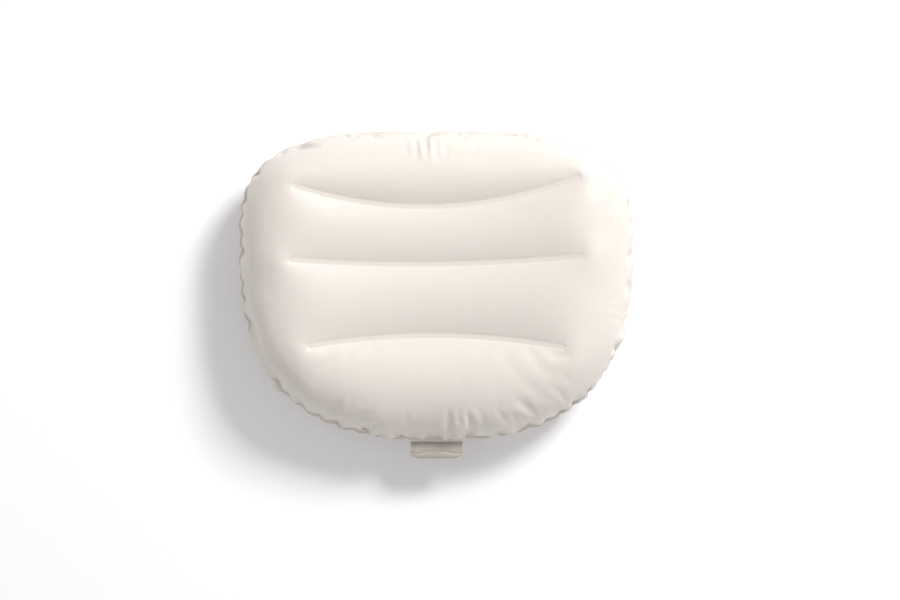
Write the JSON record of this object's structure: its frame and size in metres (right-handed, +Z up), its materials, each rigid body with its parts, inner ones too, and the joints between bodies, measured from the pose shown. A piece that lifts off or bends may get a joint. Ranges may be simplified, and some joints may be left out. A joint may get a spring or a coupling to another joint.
{
  "type": "camp pillow",
  "caption": "Inflatable camp pillow of welded film with cross baffles, a recessed stem valve with plug on the back, and a film loop under the bottom edge.",
  "frame": {"origin": "on the ground under the middle of the whole object's box, with the pillow lying on its back", "axes": "+X to the pillow's right, +Y to its top edge, +Z up out of its front"},
  "size_m": [0.39, 0.3218, 0.1],
  "materials": {
    "panel_film": "satin soft vinyl film, warm cream",
    "baffle_film": "plain vinyl film",
    "valve_vinyl": "soft clear vinyl moulding",
    "loop_film": "satin vinyl film, greyer than the panels"
  },
  "bodies": {
    "pillow": {"front_panel": "panel_film", "back_panel": "panel_film", "upper_baffle": "baffle_film", "middle_baffle": "baffle_film", "lower_baffle": "baffle_film", "valve_flange": "valve_vinyl", "loop_weld_tab": "loop_film"},
    "stem": {"valve_stem": "valve_vinyl"},
    "plug": {"valve_plug": "valve_vinyl"},
    "flap": {"check_flap": "valve_vinyl"},
    "loop": {"strap_loop": "loop_film"}
  },
  "joints": [
    {"name": "stem_slide", "type": "slide", "parent": "pillow", "child": "stem", "axis": [-0.809, 0, -0.5878], "range_m": [0, 0.01]},
    {"name": "plug_hinge", "type": "hinge", "parent": "stem", "child": "plug", "pos_m": [-0.17871, 0.01, 0.01708], "axis": [0.5878, 0, -0.809], "range_deg": [0, 150]},
    {"name": "flap_hinge", "type": "hinge", "parent": "stem", "child": "flap", "pos_m": [-0.16512, 0.0074, 0.02695], "axis": [-0.5878, 0, 0.809], "range_deg": [0, 55]},
    {"name": "loop_swing", "type": "hinge", "parent": "pillow", "child": "loop", "pos_m": [0, -0.1445, 0.04875], "axis": [1, 0, 0], "range_deg": [-45, 75], "stiffness_Nm_per_rad": 0.006}
  ]
}
